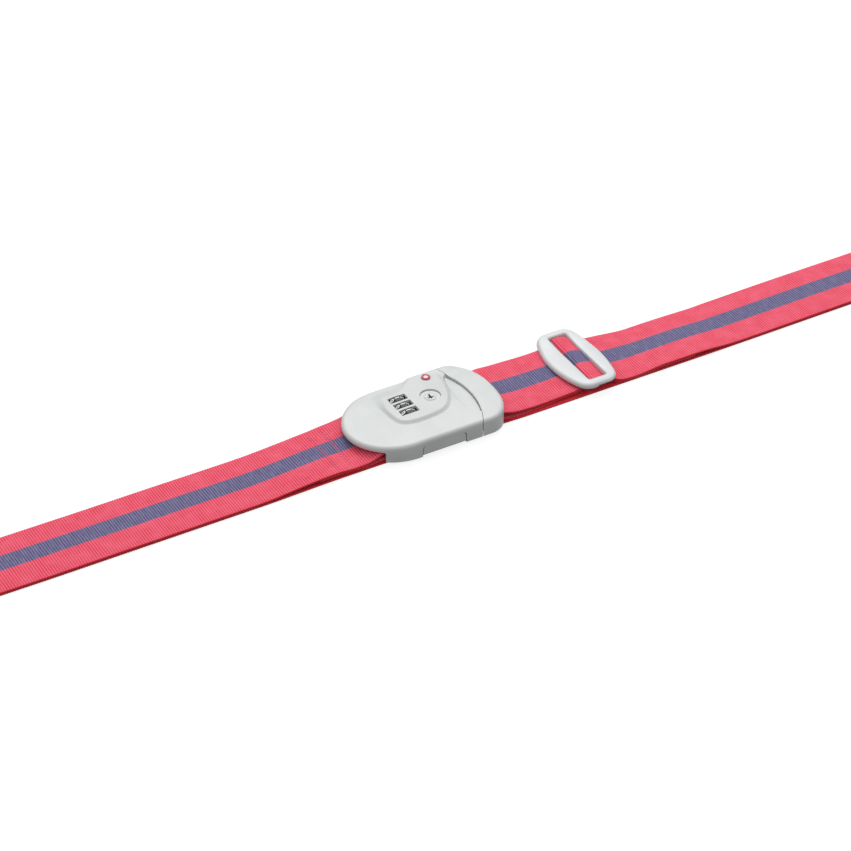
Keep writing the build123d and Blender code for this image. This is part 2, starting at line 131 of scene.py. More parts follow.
# Slider
SLIDER_X = (101.0, 139.0)
SLIDER_HALF = 32.5
SLIDER_Y = 3.1
SLIDER_Z = (6.5, 11.0)
SLIDER_LEFT_R = 68.0
SLIDER_RIGHT_R = 98.0
SLIDER_CORNER = 10.0
SLIDER_POINTS = 420
WINDOW_X = (114.7, 128.3)
WINDOW_Y = (-26.2, 26.0)
WINDOW_CORNER = 1.5
WINDOW_MIDDLE = np.array([122.0, 0.0])
WINDOW_SPAN = np.array([14.0, 52.8])    # evens out the directions to window and outline
WINDOW_EDGE = 1.1       # radii of the slider's edges: round the window above, below, and outside
LOW_EDGE = 0.9
OUTER_EDGE = 2.6
OUTER_DROP = 2.4

# Camera
CAMERA_DOWN = 36.506    # degrees below the level and to the right of +Y
CAMERA_TURN = 29.641
CAMERA_TARGET = (2.81, -1.84, 0)
CAMERA_DISTANCE = 1909.65
CAMERA_LENS = 124.27


# Arrays


def smooth(low, high, x):
    """Rises from 0 at low to 1 at high with level ends."""
    t = np.clip((np.asarray(x, float) - low) / (high - low), 0, 1)
    return t * t * (3 - 2 * t)


def grid_faces(rows, cols, wrap_rows=False, wrap_cols=False):
    """Quads of a grid of points stored row after row, joined round where asked."""
    r = np.arange(rows if wrap_rows else rows - 1)
    c = np.arange(cols if wrap_cols else cols - 1)
    r, c = np.meshgrid(r, c, indexing="ij")
    r2 = (r + 1) % rows
    c2 = (c + 1) % cols
    return np.stack([r * cols + c, r * cols + c2, r2 * cols + c2, r2 * cols + c], -1).reshape(-1, 4)


def rounded(points, times=3):
    """Cuts each corner at a quarter and three quarters of its sides, again and again."""
    p = np.asarray(points, float)
    for _ in range(times):
        a = p[:-1]
        b = p[1:]
        corners = np.stack([0.75 * a + 0.25 * b, 0.25 * a + 0.75 * b], 1).reshape(-1, 2)
        p = np.vstack([p[:1], corners, p[-1:]])
    return p


def closed_rounded(points):
    """The same corner cutting, three times, on a closed outline."""
    p = np.asarray(points, float)
    for _ in range(3):
        q = np.roll(p, -1, axis=0)
        p = np.stack([0.75 * p + 0.25 * q, 0.25 * p + 0.75 * q], 1).reshape(-1, 2)
    return p


def lengths(points):
    """Distance along a path at each of its points."""
    steps = np.linalg.norm(np.diff(points, axis=0), axis=1)
    return np.concatenate([[0], np.cumsum(steps)])


def resampled(points, step):
    """The same path with points at even steps along it."""
    along = lengths(points)
    s = np.linspace(0, along[-1], max(2, int(round(along[-1] / step)) + 1))
    return np.stack([np.interp(s, along, points[:, k]) for k in (0, 1)], 1)


def left_normals(points):
    """Unit vectors to the left of a path's direction."""
    d = np.gradient(points, axis=0)
    d /= np.maximum(np.linalg.norm(d, axis=1, keepdims=True), 1e-9)
    return np.stack([-d[:, 1], d[:, 0]], 1)


def signed_distance(points, loop):
    """Distance from each point to a closed outline, negative inside it."""
    best = np.full(len(points), 1e9)
    inside = np.zeros(len(points), bool)
    for p, q in zip(loop, np.roll(loop, -1, axis=0)):
        d = q - p
        t = np.clip(((points - p) @ d) / max(d @ d, 1e-12), 0, 1)
        best = np.minimum(best, np.linalg.norm(points - p - t[:, None] * d, axis=1))
        crosses = (p[1] > points[:, 1]) != (q[1] > points[:, 1])
        if abs(d[1]) > 1e-12:
            inside ^= crosses & (points[:, 0] < p[0] + (points[:, 1] - p[1]) * d[0] / d[1])
    return np.where(inside, -best, best)


def arc(x, z, radius, start, end, count):
    """Points round an arc between two angles in degrees."""
    a = np.radians(np.linspace(start, end, count))
    return np.stack([x + radius * np.cos(a), z + radius * np.sin(a)], 1)


# Objects


def new_object(name, points, faces, sharp=40):
    """A mesh object from points in millimetres, smooth but for edges over an angle in degrees."""
    mesh = bpy.data.meshes.new(name)
    faces = faces.tolist() if isinstance(faces, np.ndarray) else faces
    mesh.from_pydata((np.asarray(points, float) * MM).tolist(), [], faces)
    mesh.update()
    shade(mesh, sharp)
    thing = bpy.data.objects.new(name, mesh)
    bpy.context.scene.collection.objects.link(thing)
    return thing


def shade(mesh, sharp):
    """Smooth shading with hard edges over an angle."""
    mesh.polygons.foreach_set("use_smooth", np.ones(len(mesh.polygons), bool))
    mesh.set_sharp_from_angle(angle=math.radians(sharp))


def finished(thing, material, body, slot, *nodes):
    """Gives a piece its material, its body and the CAD nodes that it stands for."""
    thing.data.materials.clear()
    thing.data.materials.append(material)
    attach(thing, body)
    if nodes:
        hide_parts(*nodes)
    return thing


def set_uv(mesh, uv):
    """Stores one (u, v) for each vertex as the mesh's UV map."""
    layer = mesh.uv_layers.new(name="UVMap")
    corner = np.empty(len(mesh.loops), np.int32)
    mesh.loops.foreach_get("vertex_index", corner)
    layer.data.foreach_set("uv", uv[corner].ravel().astype(np.float32))


def tidy(thing, merge=True):
    """Merges points that lie together, unless told not to, and turns the faces outwards."""
    bm = bmesh.new()
    bm.from_mesh(thing.data)
    if merge:
        bmesh.ops.remove_doubles(bm, verts=bm.verts, dist=WELD * MM)
        bmesh.ops.dissolve_degenerate(bm, edges=bm.edges, dist=WELD * MM)
    bmesh.ops.recalc_face_normals(bm, faces=bm.faces)
    bm.to_mesh(thing.data)
    bm.free()


def coordinates(mesh):
    """A mesh's points as one array."""
    points = np.empty(len(mesh.vertices) * 3, np.float32)
    mesh.vertices.foreach_get("co", points)
    return points.reshape(-1, 3).astype(float)


def gathered(parts):
    """Several lots of (points, faces) as one."""
    points = []
    faces = []
    start = 0
    for part_points, part_faces in parts:
        points.append(part_points)
        faces += [[start + i for i in face] for face in part_faces]
        start += len(part_points)
    return np.concatenate(points), faces


def joined(name, pieces):
    """Several closed pieces as one mesh."""
    parts = []
    for piece in pieces:
        parts.append((coordinates(piece.data) / MM, [list(f.vertices) for f in piece.data.polygons]))
        bpy.data.objects.remove(piece)
    return new_object(name, *gathered(parts))


def soften(thing, width):
    """Rounds the sharp edges of a piece."""
    modifier = thing.modifiers.new("soften", "BEVEL")
    modifier.width = width * MM
    modifier.segments = 2
    modifier.limit_method = "ANGLE"
    modifier.angle_limit = math.radians(35)


def cut(thing, cutters):
    """Cuts a closed piece with other closed pieces, which are then removed."""
    for cutter in cutters:
        modifier = thing.modifiers.new("cut", "BOOLEAN")
        modifier.operation = "DIFFERENCE"
        modifier.solver = "MANIFOLD"
        modifier.object = cutter
    graph = bpy.context.evaluated_depsgraph_get()
    mesh = bpy.data.meshes.new_from_object(thing.evaluated_get(graph))
    thing.modifiers.clear()
    thing.data = mesh
    for cutter in cutters:
        bpy.data.objects.remove(cutter)
    shade(mesh, 30)
    return thing


def prism(name, outline, z, axis="Z"):
    """A closed (x, y) outline pushed between two heights, or an (x, z) one along Y."""
    n = len(outline)
    order = [0, 1, 2] if axis == "Z" else [0, 2, 1]
    levels = [np.column_stack([outline, np.full(n, level)])[:, order] for level in z]
    faces = grid_faces(2, n, wrap_cols=True).tolist()
    faces += [list(range(n))[::-1], list(range(n, 2 * n))]
    thing = new_object(name, np.concatenate(levels), faces)
    tidy(thing)
    return thing


def lathe(name, profile, centre, count, sharp):
    """A closed profile of (radius, z) points turned about an upright axis."""
    profile = np.asarray(profile, float)
    a = np.linspace(0, 2 * np.pi, count, endpoint=False)
    x = centre[0] + profile[:, :1] * np.cos(a)
    y = centre[1] + profile[:, :1] * np.sin(a)
    points = np.stack([x, y, np.broadcast_to(profile[:, 1:], x.shape)], -1).reshape(-1, 3)
    thing = new_object(name, points, grid_faces(len(profile), count, True, True), sharp)
    tidy(thing)
    return thing


def rectangle(x, y, radius=0.0):
    """A rectangle's outline between limits, with square or round corners."""
    if not radius:
        return np.array([(x[0], y[0]), (x[1], y[0]), (x[1], y[1]), (x[0], y[1])], float)
    left, right = x[0] + radius, x[1] - radius
    low, high = y[0] + radius, y[1] - radius
    corners = [(right, low, -90), (right, high, 0), (left, high, 90), (left, low, 180)]
    return np.concatenate([arc(cx, cy, radius, start, start + 90, 6) for cx, cy, start in corners])


# Finishes


class Value:
    """A number that changes over a surface. Python arithmetic on it adds Math nodes."""

    def __init__(self, finish, socket):
        self.finish = finish
        self.socket = socket

    def __add__(self, other):
        return self.finish.math("ADD", self, other)

    __radd__ = __add__

    def __sub__(self, other):
        return self.finish.math("SUBTRACT", self, other)

    def __rsub__(self, other):
        return self.finish.math("SUBTRACT", other, self)

    def __mul__(self, other):
        return self.finish.math("MULTIPLY", self, other)

    __rmul__ = __mul__

    def __truediv__(self, other):
        return self.finish.math("DIVIDE", self, other)


class Finish:
    """A material in the making, with one method that adds any node."""

    def __init__(self, name):
        self.material = bpy.data.materials.new(name)
        self.material.use_nodes = True
        self.tree = self.material.node_tree
        self.tree.nodes.clear()

    def feed(self, socket, value):
        """Links a value to a socket, or sets the socket's own number, colour or vector."""
        if isinstance(value, Value):
            self.tree.links.new(value.socket, socket)
        elif isinstance(value, (tuple, list)) and len(socket.default_value) == 4:
            socket.default_value = tuple(value)[:3] + (1.0,)
        else:
            socket.default_value = value

    def add(self, kind, settings=None, inputs=None, output=0):
        """Adds a node with its settings, feeds its sockets and returns one output."""
        node = self.tree.nodes.new(kind)
        for key, value in (settings or {}).items():
            setattr(node, key, value)
        for key, value in (inputs or {}).items():
            self.feed(node.inputs[key], value)
        return Value(self, node.outputs[output]) if node.outputs else None

    def math(self, operation, *values):
        return self.add("ShaderNodeMath", {"operation": operation}, dict(enumerate(values)))

    def step(self, low, high, value):
        """0 below low, 1 above high and smooth between."""
        inputs = {"Value": value, "From Min": low, "From Max": high}
        return self.add("ShaderNodeMapRange", {"interpolation_type": "SMOOTHSTEP"}, inputs)

    def mix(self, factor, a, b):
        """Colour a where the factor is 0 and b where it is 1."""
        return self.add("ShaderNodeMix", {"data_type": "RGBA"}, {0: factor, 6: a, 7: b}, 2)

    def place(self, scale=(1, 1, 1), source="Object"):
        """Coordinates in millimetres, stretched by a scale."""
        at = self.add("ShaderNodeTexCoord", output=source)
        size = tuple(1000 * s for s in scale)
        return self.add("ShaderNodeMapping", {}, {"Vector": at, "Scale": size})

    def noise(self, at, scale, detail=2.0, rough=0.5):
        inputs = {"Vector": at, "Scale": scale, "Detail": detail, "Roughness": rough}
        return self.add("ShaderNodeTexNoise", {}, inputs, "Fac")

    def bump(self, height, distance, strength=1.0):
        """A normal from a height of 0 to 1 over a distance in millimetres."""
        inputs = {"Height": height, "Distance": distance * MM, "Strength": strength}
        return self.add("ShaderNodeBump", {}, inputs)

    def done(self, **sockets):
        """Ends the material with its shader."""
        inputs = {}
        for key, value in sockets.items():
            inputs[key.replace("_", " ").title().replace("Ior", "IOR")] = value
        shader = self.add("ShaderNodeBsdfPrincipled", {}, inputs)
        self.add("ShaderNodeOutputMaterial", {}, {"Surface": shader})
        return self.material


def webbing_finish(name, rows=(), edge_shade_width=0.75):
    """Ribbed polyester: coral red with a grey-violet middle stripe. Rib crests and yarn tops are painted
    lighter as painted highlight, the troughs darker as painted shade, and the round edges deep red as
    painted shade.

    Each row of stitching across the band pulls a zigzag of dimples into it, painted dark as painted
    shadow.
    """
    f = Finish(name)
    uv = f.add("ShaderNodeTexCoord", output="UV")
    split = f.add("ShaderNodeSeparateXYZ", {}, {0: uv})
    along = split * 1000.0
    across = f.add("ShaderNodeSeparateXYZ", {}, {0: uv}, 1) * 1000.0
    wave = f.math("COSINE", along * (2 * math.pi / RIB_PITCH))
    crest = wave * 0.5 + 0.5
    row = f.math("FLOOR", along / RIB_PITCH + 0.5)
    stagger = row * math.pi
    yarn = f.math("COSINE", across * (2 * math.pi / 0.92) + stagger) * 0.5 + 0.5
    at = f.add("ShaderNodeCombineXYZ", {}, {0: along, 1: across})
    long_at = f.add("ShaderNodeCombineXYZ", {}, {0: along * 0.06, 1: across * 1.6})
    cross_at = f.add("ShaderNodeCombineXYZ", {}, {0: along * 1.1, 1: across * 0.12})
    mottle = f.noise(at, 0.09, 3.0)
    streak = f.noise(long_at, 1.0, 2.0)
    pick = f.noise(cross_at, 1.0, 2.0)
    fuzz = f.noise(at, 3.2, 3.0)

    # Rib crests and yarn tops painted lighter and troughs darker: painted highlight and painted shade,
    # mixed with random yarn tone from the pick and streak noise.
    rib_highlight_and_tone = crest * 0.45 + yarn * crest * 0.2 + pick * 0.35 + streak * 0.15
    red = f.mix(f.step(0.1, 0.95, rib_highlight_and_tone), (0.53, 0.02, 0.045), (0.85, 0.12, 0.19))
    red = f.mix(f.step(0.35, 0.75, mottle) * 0.3, red, (0.84, 0.16, 0.24))
    violet = f.mix(f.step(0.1, 0.95, rib_highlight_and_tone), (0.045, 0.045, 0.105), (0.19, 0.175, 0.33))
    violet = f.mix(f.step(0.45, 0.8, pick) * 0.3, violet, (0.30, 0.25, 0.40))
    off = f.math("ABSOLUTE", across - STRIPE_Y) + (pick - 0.5) * 0.7 + (yarn - 0.5) * 0.35
    stripe = 1 - f.step(STRIPE_HALF - 0.25, STRIPE_HALF + 0.25, off)
    colour = f.mix(stripe, red, violet)
    # The round edges are painted deep red: painted shade on the side faces, and on the lower run painted
    # shade where the layers above cover it.
    edge = f.step(WEB_HALF - edge_shade_width, WEB_HALF - edge_shade_width * 0.25, f.math("ABSOLUTE", across))
    colour = f.mix(edge * 0.85, colour, (0.62, 0.008, 0.016))
    height = crest * 0.4 + yarn * crest * 0.35 + fuzz * 0.25
    for row_at, low, high in rows:
        swing = f.math("PINGPONG", (across - low) / STITCH, 1.0) * 2.0 - 1.0
        off_line = f.math("ABSOLUTE", along - row_at - swing * STITCH_SIDE)
        hole = (1 - f.step(0.2, 0.75, off_line)) * f.step(0.45, 0.9, f.math("ABSOLUTE", swing))
        hole = hole * f.step(low - 0.6, low, across) * (1 - f.step(high, high + 0.6, across))
        # The dimples are painted dark red: painted shadow in them.
        colour = f.mix(hole * 0.8, colour, (0.20, 0.004, 0.012))
        height = height - hole * 1.2
    return f.done(
        base_color=colour, roughness=0.68 + fuzz * 0.2, sheen_weight=0.25, sheen_roughness=0.4,
        sheen_tint=(1.0, 0.75, 0.8), normal=f.bump(height, 0.16), specular_ior_level=0.25,
    )


def thread_finish():
    """Twisted sewing thread, pink, with fine turns."""
    f = Finish("thread_pink")
    at = f.place()
    turns = {"Vector": at, "Scale": 1.6}
    twist = f.add("ShaderNodeTexWave", {"bands_direction": "DIAGONAL"}, turns, "Fac")
    colour = f.mix(twist, (0.66, 0.06, 0.12), (0.88, 0.20, 0.30))
    return f.done(base_color=colour, roughness=0.55, normal=f.bump(twist, 0.05))


def moulding_finish(name, low, high, rough=0.4):
    """Satin moulded plastic: even colour with faint clouding and a fine spark-eroded grain."""
    f = Finish(name)
    at = f.place()
    cloud = f.noise(at, 0.05, 2.0)
    grain = f.noise(at, 5.0, 3.0, 0.6)
    speck = f.noise(at, 1.3, 4.0, 0.7)
    colour = f.mix(f.step(0.3, 0.7, cloud), low, high)
    colour = f.mix(f.step(0.55, 0.8, speck) * 0.06, colour, tuple(0.7 * c for c in low))
    height = grain * 0.7 + speck * 0.3
    return f.done(
        base_color=colour, roughness=rough - 0.04 + grain * 0.08, normal=f.bump(height, 0.03),
        specular_ior_level=0.45,
    )


def metal_finish(name, colour, rough=0.35, brushed=(1, 1, 1)):
    """Plated metal with short brush marks along one direction."""
    f = Finish(name)
    marks = f.noise(f.place(brushed), 2.5, 4.0, 0.7)
    dull = f.noise(f.place(), 0.3, 2.0)
    tone = f.mix(marks, tuple(0.78 * c for c in colour), colour)
    return f.done(
        base_color=tone, metallic=1.0, roughness=rough - 0.08 + dull * 0.16,
        normal=f.bump(marks, 0.02),
    )


def dial_finish():
    """Black number wheel, satin with fine turning marks and dust in the grain."""
    f = Finish("dial_black")
    turned = f.noise(f.place((0.2, 4, 0.2)), 2.0, 3.0)
    dust = f.noise(f.place(), 2.2, 4.0, 0.7)
    colour = f.mix(f.step(0.6, 0.85, dust) * 0.35, (0.008, 0.008, 0.009), (0.05, 0.05, 0.05))
    return f.done(base_color=colour, roughness=0.28 + turned * 0.12, normal=f.bump(turned, 0.02))


def digit_finish():
    """White ink pressed into the wheels, a little uneven."""
    f = Finish("digit_white")
    wear = f.noise(f.place(), 3.0, 3.0)
    colour = f.mix(f.step(0.35, 0.75, wear), (0.95, 0.95, 0.95), (0.82, 0.82, 0.83))
    return f.done(base_color=colour, roughness=0.5, normal=f.bump(wear, 0.02))


def ring_finish():
    """Glossy red inlay."""
    f = Finish("ring_red")
    cloud = f.noise(f.place(), 0.8, 2.0)
    colour = f.mix(cloud, (0.30, 0.012, 0.04), (0.42, 0.02, 0.06))
    return f.done(base_color=colour, roughness=0.3 + cloud * 0.1, coat_weight=0.2)


def lens_finish():
    """Milky pink lens."""
    f = Finish("lens_pink")
    cloud = f.noise(f.place(), 1.5, 2.0)
    colour = f.mix(cloud, (0.80, 0.50, 0.55), (0.88, 0.64, 0.67))
    return f.done(base_color=colour, roughness=0.3 + cloud * 0.1, coat_weight=0.2)


def cylinder_finish():
    """Painted casting like the shell round it; black below the plug's face as painted shade in the
    keyway.
    """
    f = Finish("cylinder_paint_keyway_shade")
    height = f.add("ShaderNodeSeparateXYZ", {}, {0: f.place()}, 2)
    cloud = f.noise(f.place(), 0.8, 3.0)
    paint = f.mix(cloud, (0.52, 0.54, 0.53), (0.60, 0.62, 0.61))
    # Black below the plug's face: painted shade in the keyway.
    colour = f.mix(f.step(14.3, 15.0, height), (0.02, 0.02, 0.02), paint)
    return f.done(base_color=colour, roughness=0.3 + cloud * 0.15, normal=f.bump(cloud, 0.02))


WEBBING = webbing_finish("webbing_weave")
THREAD = thread_finish()
SHELL = moulding_finish("shell_grey", (0.515, 0.535, 0.526), (0.548, 0.568, 0.56))
SLIDER_SHELL = moulding_finish("slider_grey", (0.575, 0.59, 0.60), (0.61, 0.625, 0.635), 0.36)
INNER = moulding_finish("inner_moulding", (0.42, 0.43, 0.42), (0.5, 0.51, 0.5), 0.5)
STEEL = metal_finish("bar_steel", (0.62, 0.62, 0.64), 0.32, (4, 0.3, 4))
PLATE = metal_finish("plate_steel", (0.5, 0.51, 0.53), 0.4, (0.3, 4, 4))
CYLINDER = cylinder_finish()
BRASS = metal_finish("wafer_brass", (0.78, 0.58, 0.25), 0.35, (0.4, 4, 4))
DIAL = dial_finish()
DIGIT = digit_finish()
RING_RED = ring_finish()
LENS = lens_finish()


# Webbing


def fold_line():
    """Centre line of the +X fold: along the table, round, and down on to the top run."""
    turn = arc(FOLD_END - WEB_T / 2 - FOLD_R, RUN_LOW + FOLD_R, FOLD_R, -90, 90, 14)
    down = [(465, 10.9), (450, 6.6), (438, 3.4)]
    return np.vstack([[(RUN_JOIN, RUN_LOW), (450, RUN_LOW)], turn, down])


def main_line():
    """Centre line of the top layer from the insert's bar over the slider to the flat run."""
    face = [
        (43, 9.25), (48, 9.1), (56, 8.0), (66, 7.0), (77, 6.3), (88, 5.8), (98, 5.9), (106, 6.2),
        (112, 6.25), (115.0, 6.3), (115.7, 7.2), (117.0, 9.4), (118.6, 10.05), (123.0, 9.7),
        (128.4, 7.9), (132, 6.3), (140, 5.0), (152, 4.0), (165, 4.0), (200, 4.0), (212, 3.5),
        (224, 2.65), (236, 2.65), (420, 2.65),
    ]
    line = resampled(rounded(face), 0.4)
    return line - left_normals(line) * WEB_T / 2


def stretch(line, low, high):
    """The points of a line whose x lies between two limits."""
    return line[(line[:, 0] >= low) & (line[:, 0] <= high)]


def section():
    """Webbing cross-section as (across, up): flat faces and full round edges."""
    half = WEB_HALF - WEB_EDGE
    flat = np.linspace(-half, half, 15)
    turn = np.radians([-60, -30, 0, 30, 60])
    right = np.column_stack([half + WEB_EDGE * np.cos(turn), WEB_T / 2 * np.sin(turn)])
    top = np.column_stack([flat[::-1], np.full(len(flat), WEB_T / 2)])
    bottom = np.column_stack([flat, np.full(len(flat), -WEB_T / 2)])
    return np.vstack([bottom, right, top, -right])


def strap(name, line, shift, lift=None, start=0.0, finish=WEBBING):
    """A band whose section runs along a centre line of (x, z) points.

    Each rib swells the band by a cosine of the length along it, so the faces are ribbed and the
    edges scalloped. lift(x, y) raises points and shift(x) moves them across. The UV map holds
    the length, counted from start, and the place across the band.
    """
    line = resampled(np.asarray(line, float), RIB_PITCH / 4)
    s = lengths(line) + start
    normal = left_normals(line)
    side, height = section().T
    swell = RIB_DEPTH * np.cos(2 * np.pi * s / RIB_PITCH)[:, None]
    up = height * (1 + swell / (WEB_T / 2))
    edge = np.sign(side) * (abs(side) > WEB_HALF - WEB_EDGE)
    across = side + edge * swell * 0.8
    x = line[:, :1] + normal[:, :1] * up
    z = line[:, 1:] + normal[:, 1:] * up
    if lift:
        z = z + lift(x, across)
    rows, cols = x.shape
    faces = grid_faces(rows, cols, wrap_cols=True).tolist()
    faces += [list(range(cols)), list(range((rows - 1) * cols, rows * cols))[::-1]]
    points = np.stack([x, across + shift(x), z], -1).reshape(-1, 3)
    thing = new_object(name, points, faces, 60)
    set_uv(thing.data, np.stack(np.broadcast_arrays(s[:, None] * MM, side * MM), -1).reshape(-1, 2))
    tidy(thing, merge=False)
    thing.data.materials.append(finish)
    float(s[-1] - s[0]) * MM
    return thing


def ease(x, y):
    """Small unevenness of a band that lies by itself, fading out at the buckle and slider."""
    free = smooth(60, 100, -x) + smooth(150, 190, x)
    return free * 0.12 * (1 + np.sin(x / 23.0 + y / 17.0) * np.cos(x / 41.0))


def loop_lift(x, y):
    """The far edge stands a little higher between the insert half and the slider."""
    rise = smooth(46, 58, x) * (1.9 - 0.8 * smooth(70, 100, x)) * (1 + 0.35 * smooth(112, 118, x))
    return rise * (1 - smooth(142, 172, x)) * (y / WEB_HALF + 0.15)


def run_lift(x, y):
    """Beyond the slider the far edge comes down to hang lower; the fold at the end is even."""
    tilt = -0.9 * smooth(150, 175, x) * (1 - smooth(200, 240, x)) * (y / WEB_HALF)
    return loop_lift(x, y) + tilt + ease(x, y) * (1 - smooth(400, 430, x))


def loop_shift(x):
    """The band sits to the far side in the slider and a little to the near side beyond it."""
    inside = 1.2 * smooth(60, 95, x) + 1.7 * smooth(102, 114, x) - 4.3 * smooth(126, 142, x)
    return inside + 1.4 * smooth(200, 340, x)


def lock_lift(x, y):
    """The far edge stands a little higher next to the lock half; the rest lies easy."""
    far = 0.7 * smooth(41, 52, -x) * (1 - smooth(58, 74, -x)) * (y / WEB_HALF)
    near = 0.8 * smooth(50, 90, -x) * (1 - smooth(95, 135, -x)) * (0.3 - y / WEB_HALF)
    return ease(x, y) + far + near


def lock_shift(x):
    """The lock side lies a little to the near side away from the buckle and the fold."""
    return -1.1 * smooth(70, 130, -x) * smooth(380, 260, -x)


def low_shift(x):
    """The lower run lies a little to the near side, but in line at the folds."""
    insert_side = -1.2 * smooth(360, 200, x) * smooth(25, 70, x)
    return insert_side + lock_shift(x)


def make_webbing():
    """All stretches of the band; the lock side rides on the lock body."""
    fold = fold_line()
    left_fold = np.column_stack([-fold[:, 0], fold[:, 1]])
    top_run = [(-425, RUN_TOP), *LOCK_RUN, (-47, 6.0), (-42, 7.7), (-38, 8.5)]
    turn = arc(LOCK_BAR_X, BAR_Z, WRAP_R, 90, -90, 14)
    sewn_end = [(-42, 3.4), (-52, 2.95), (-62, 3.35), (-75, 2.82), (-86.5, 2.3)]
    route = rounded(np.vstack([left_fold, top_run, turn, sewn_end]))
    line = resampled(route, RIB_PITCH / 4)
    top = line[: int(np.argmax(line[:, 0] > LOCK_BAR_X))]
    along = lengths(top)
    rows = [(float(np.interp(x, top[:, 0], along)), low, high) for x, low, high in STITCH_ROWS]
    stitched = webbing_finish("webbing_weave_stitched", rows)
    lock_side = strap("band_lock_side", route, lock_shift, lock_lift, finish=stitched)
    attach(lock_side, "lock_body")
    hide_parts("webbing_lock_side")

    # The lower run is painted deep red 7 mm in from each edge: painted shade between it and the layers
    # above.
    lower_shaded = webbing_finish("webbing_weave_lower_edge_shade", edge_shade_width=7.0)
    low = strap("band_lower_run", [(-RUN_JOIN, RUN_LOW), (RUN_JOIN, RUN_LOW)], low_shift, finish=lower_shaded)
    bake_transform(low)

    main = main_line()
    under = resampled(main - left_normals(main) * LAYER, 0.4)
    loop_main = stretch(main, INSERT_BAR_X + 0.5, SLIDER_JOIN)[::-1]
    loop_turn = arc(INSERT_BAR_X, BAR_Z, WRAP_R, 90, 270, 14)
    loop_low = rounded([(45, 3.55), (55, 2.9), (70, 2.85), (82, 3.35), (95, 3.95)])
    loop = np.vstack([loop_main, loop_turn, loop_low, stretch(under, 98, SLIDER_JOIN)])
    band = strap("band_loop", loop, loop_shift, loop_lift)
    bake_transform(band)
    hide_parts("webbing_loop", "webbing_in_slider")

    run = np.vstack([stretch(main, SLIDER_JOIN, 420), fold[::-1]])
    start = SLIDER_JOIN - loop_main[0][0]
    long_run = strap("band_long_run", rounded(run, 2), loop_shift, run_lift, start)
    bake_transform(long_run)
    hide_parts("webbing_insert_side")

    tail = strap("band_tail_end", stretch(under, SLIDER_JOIN, TAIL_END), loop_shift, run_lift)
    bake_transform(tail)
    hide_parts("webbing_tail")


make_webbing()


# Buckle


ISLAND = closed_rounded([
    (-22.2, 22), (-22.2, -6), (-15.5, -12.8), (3, -12.8), (15, -9.8), (23.5, 2), (27.6, 17), (27.9, 27),
    (27.2, 40), (12, 40), (5, 28.5), (-4, 23.6), (-16.5, 23.6),
])
CRESCENT = closed_rounded([
    (30.6, 24.5), (28.6, 19.5), (26.8, 12), (25.5, 0), (25.6, -8), (26.4, -15.5), (28.2, -20.5),
    (31, -22.6), (50, -22.6), (50, 24.5),
])


def outline(count):
    """The buckle's outline at even steps, with outward normals.

    A half ellipse at the lock's end, two straight sides and a slightly square half ellipse.
    """
    a = np.linspace(np.pi, 3 * np.pi / 2, 300)
    near = np.column_stack([LOCK_END_X + LOCK_END_A * np.cos(a), HALF_WIDTH * np.sin(a)])
    b = np.linspace(-np.pi / 2, np.pi / 2, 400)
    square = 2 / 2.25       # a power under 1 fills the corners out
    right = np.column_stack([
        INSERT_END_X + INSERT_END_A * abs(np.cos(b)) ** square,
        HALF_WIDTH * np.sign(np.sin(b)) * abs(np.sin(b)) ** square,
    ])
    return even_loop(np.vstack([near, right, near[:0:-1] * (1, -1)]), count)


def even_loop(loop, count):
    """A closed outline at even steps, anticlockwise, and its outward normals."""
    loop = np.vstack([loop, loop[:1]])
    along = lengths(loop)
    s = np.linspace(0, along[-1], count, endpoint=False)
    p = np.stack([np.interp(s, along, loop[:, k]) for k in (0, 1)], 1)
    t = np.roll(p, -1, axis=0) - np.roll(p, 1, axis=0)
    t /= np.linalg.norm(t, axis=1, keepdims=True)
    return p, np.stack([t[:, 1], -t[:, 0]], 1)


def crown(x, y):
    """Height of the covers: lower at the lock's end and to both sides, fuller at the far edge."""
    along = 12.6 + 2.1 * smooth(-58, -14, x) - 0.4 * smooth(40, 56, x)
    far_side = 1.9 * smooth(5, 16, x) * smooth(48, 34, x) * smooth(20, 31, y)
    return along - 0.8 * (y / HALF_WIDTH) ** 2 + far_side + 1.0 * smooth(-20, -36, x) * smooth(5, 25, y)


def face_height(x, y, crescent):
    """The crown with the raised island eased on to it and the thumb recess pressed in."""
    flat = np.column_stack([x.ravel(), y.ravel()])
    z = crown(x, y)
    soft = 1 + 1.8 * smooth(6, 20, y) * smooth(8, -6, x)
    rise = smooth(1.6, -1.7, signed_distance(flat, ISLAND).reshape(x.shape) / soft)
    z = z + (np.maximum(z, ISLAND_TOP - 0.0008 * (x * x + y * y)) - z) * rise
    if crescent:
        z = z - 1.9 * smooth(0.1, -1.1, signed_distance(flat, CRESCENT)).reshape(x.shape)
    return z


